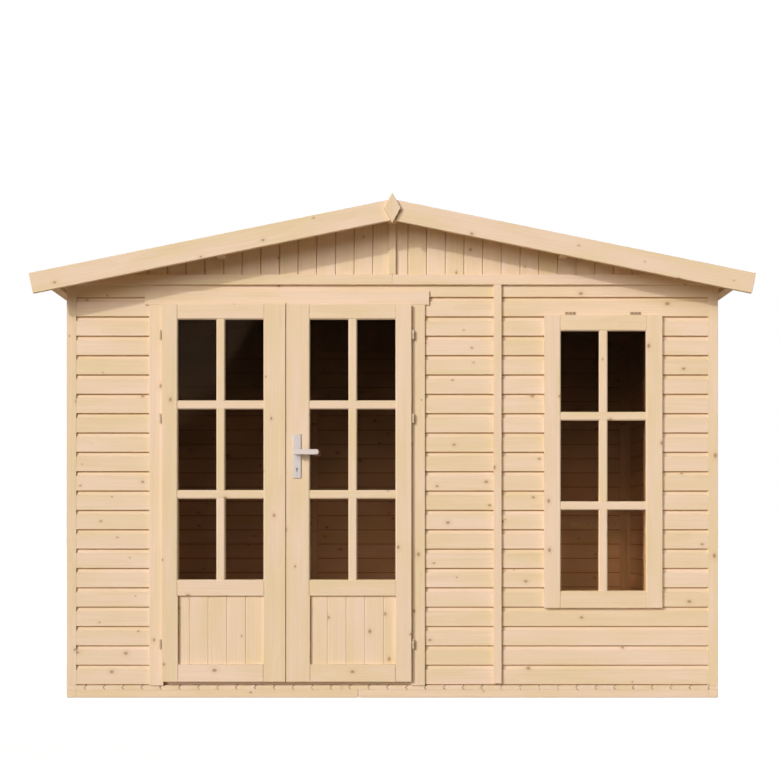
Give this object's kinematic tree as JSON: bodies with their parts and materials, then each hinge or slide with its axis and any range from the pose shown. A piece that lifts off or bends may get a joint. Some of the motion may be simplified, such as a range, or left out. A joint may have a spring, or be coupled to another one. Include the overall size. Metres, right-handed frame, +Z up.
{
  "type": "wooden garden shed",
  "caption": "Wooden garden shed with a shallow shingled gable roof, a hinged pair of glazed doors and a glazed side light.",
  "frame": {"origin": "middle of the footprint on the ground, under the middle of the roof", "axes": "+Z up, the door front faces -Y, +X to the right seen from the front, along the front wall"},
  "size_m": [3.209, 2.318, 2.2456],
  "materials": {
    "spruce_board": "planed untreated spruce boards with small knots",
    "spruce_trim": "planed untreated spruce trim with small knots",
    "spruce_frame": "planed untreated spruce battens",
    "bitumen_shingle": "mineral granules on bitumen, plum brown with dark bands",
    "window_pane": "clear flat glass",
    "hinge_steel": "dull zinc plated steel",
    "handle_metal": "satin anodised"
  },
  "bodies": {
    "shed": {"base_bearers": "spruce_frame", "base_joists": "spruce_frame", "floor": "spruce_board", "front_wall_left": "spruce_board", "front_wall_middle": "spruce_board", "front_wall_window": "spruce_board", "front_wall_over_door": "spruce_board", "back_wall": "spruce_board", "left_wall": "spruce_board", "right_wall": "spruce_board", "corner_boards": "spruce_trim", "cover_strips": "spruce_trim", "front_back_posts": "spruce_frame", "side_posts": "spruce_frame", "front_back_plates": "spruce_frame", "side_plates": "spruce_frame", "gables": "spruce_board", "gable_rails": "spruce_trim", "ridge_beam": "spruce_frame", "purlins": "spruce_frame", "eave_laths": "spruce_frame", "roof_deck_left": "spruce_board", "roof_deck_right": "spruce_board", "shingles_left": "bitumen_shingle", "shingles_right": "bitumen_shingle", "ridge_caps": "bitumen_shingle", "bargeboards": "spruce_trim", "ridge_diamonds": "spruce_trim", "door_jambs": "spruce_trim", "door_head": "spruce_trim", "door_threshold": "spruce_trim", "jamb_hinges": "hinge_steel", "window_stiles": "spruce_trim", "window_rails": "spruce_trim", "window_glass": "window_pane", "window_hinges": "hinge_steel"},
    "left_leaf": {"left_door_stiles": "spruce_trim", "left_door_rails": "spruce_trim", "left_door_panel": "spruce_board", "left_door_glass": "window_pane", "left_door_hinges": "hinge_steel"},
    "right_leaf": {"right_door_stiles": "spruce_trim", "right_door_rails": "spruce_trim", "right_door_panel": "spruce_board", "right_door_glass": "window_pane", "right_door_hinges": "hinge_steel", "handle_plates": "handle_metal"},
    "lever": {"door_lever": "handle_metal"}
  },
  "joints": [
    {"name": "left_leaf_hinge", "type": "hinge", "parent": "shed", "child": "left_leaf", "pos_m": [-1.05, -1.003, 0], "axis": [0, 0, -1], "range_deg": [0, 165]},
    {"name": "right_leaf_hinge", "type": "hinge", "parent": "shed", "child": "right_leaf", "pos_m": [0.095, -1.003, 0], "axis": [0, 0, 1], "range_deg": [0, 165]},
    {"name": "lever_turn", "type": "hinge", "parent": "right_leaf", "child": "lever", "pos_m": [-0.4305, -1.011, 1.112], "axis": [0, 1, 0], "range_deg": [0, 40], "stiffness_Nm_per_rad": 1, "springref_deg": -20.05}
  ]
}
